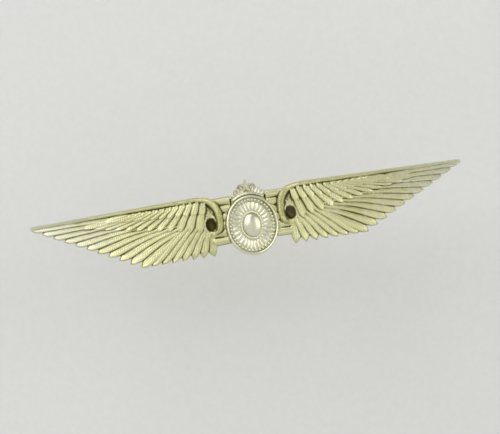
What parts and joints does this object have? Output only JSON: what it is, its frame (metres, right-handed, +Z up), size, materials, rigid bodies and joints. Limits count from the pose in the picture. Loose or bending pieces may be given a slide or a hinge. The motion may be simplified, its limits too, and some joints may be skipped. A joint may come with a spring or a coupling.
{
  "type": "pilot wings badge",
  "caption": "Struck brass wings either side of an oval medallion under a star, worn on a jacket and held from behind by grooved posts with pull-off butterfly clutches.",
  "frame": {"origin": "middle of the flat back that lies on the cloth, on the badge's left-right centre line", "axes": "+X along the wings to the viewer's right, +Y out of the back along the posts, +Z up as worn"},
  "size_m": [0.08, 0.0103, 0.0143],
  "materials": {
    "wing_gold": "polished gold plate over struck brass, darker in the recesses",
    "medallion_gold": "bright polished gold plate",
    "post_brass": "drawn brass, satin",
    "silver_solder": "dull silver solder",
    "clutch_brass": "tumbled sheet brass",
    "spring_wire": "drawn spring wire"
  },
  "bodies": {
    "badge": {"wing_blank": "wing_gold", "medallion_plate": "medallion_gold", "medallion_rim": "medallion_gold", "medallion_boss": "medallion_gold", "medallion_star": "medallion_gold", "medallion_rivets": "post_brass", "left_post": "post_brass", "left_solder_ring": "silver_solder", "right_post": "post_brass", "right_solder_ring": "silver_solder"},
    "left_clutch": {"left_clutch_base": "clutch_brass", "left_clutch_shell": "clutch_brass", "left_clutch_spring": "spring_wire"},
    "left_outer_lever": {"left_clutch_outer_tab": "clutch_brass", "left_clutch_outer_jaw": "spring_wire"},
    "left_inner_lever": {"left_clutch_inner_tab": "clutch_brass", "left_clutch_inner_jaw": "spring_wire"},
    "right_clutch": {"right_clutch_base": "clutch_brass", "right_clutch_shell": "clutch_brass", "right_clutch_spring": "spring_wire"},
    "right_outer_lever": {"right_clutch_outer_tab": "clutch_brass", "right_clutch_outer_jaw": "spring_wire"},
    "right_inner_lever": {"right_clutch_inner_tab": "clutch_brass", "right_clutch_inner_jaw": "spring_wire"}
  },
  "joints": [
    {"name": "left_clutch_pull", "type": "slide", "parent": "badge", "child": "left_clutch", "axis": [0, 1, 0], "range_m": [0, 0.014]},
    {"name": "left_outer_tab_squeeze", "type": "hinge", "parent": "left_clutch", "child": "left_outer_lever", "pos_m": [-0.0209, 0.0041, 0], "axis": [0, 0, -1], "range_deg": [0, 12], "stiffness_Nm_per_rad": 0.0001},
    {"name": "left_inner_tab_squeeze", "type": "hinge", "parent": "left_clutch", "child": "left_inner_lever", "pos_m": [-0.0171, 0.0041, 0], "axis": [0, 0, 1], "range_deg": [0, 12], "stiffness_Nm_per_rad": 0.0001},
    {"name": "right_clutch_pull", "type": "slide", "parent": "badge", "child": "right_clutch", "axis": [0, 1, 0], "range_m": [0, 0.014]},
    {"name": "right_outer_tab_squeeze", "type": "hinge", "parent": "right_clutch", "child": "right_outer_lever", "pos_m": [0.0209, 0.0041, 0], "axis": [0, 0, 1], "range_deg": [0, 12], "stiffness_Nm_per_rad": 0.0001},
    {"name": "right_inner_tab_squeeze", "type": "hinge", "parent": "right_clutch", "child": "right_inner_lever", "pos_m": [0.0171, 0.0041, 0], "axis": [0, 0, -1], "range_deg": [0, 12], "stiffness_Nm_per_rad": 0.0001}
  ],
  "couplings": [
    {"joint": "left_inner_tab_squeeze", "follows": "left_outer_tab_squeeze", "ratio": 1},
    {"joint": "right_inner_tab_squeeze", "follows": "right_outer_tab_squeeze", "ratio": 1}
  ]
}
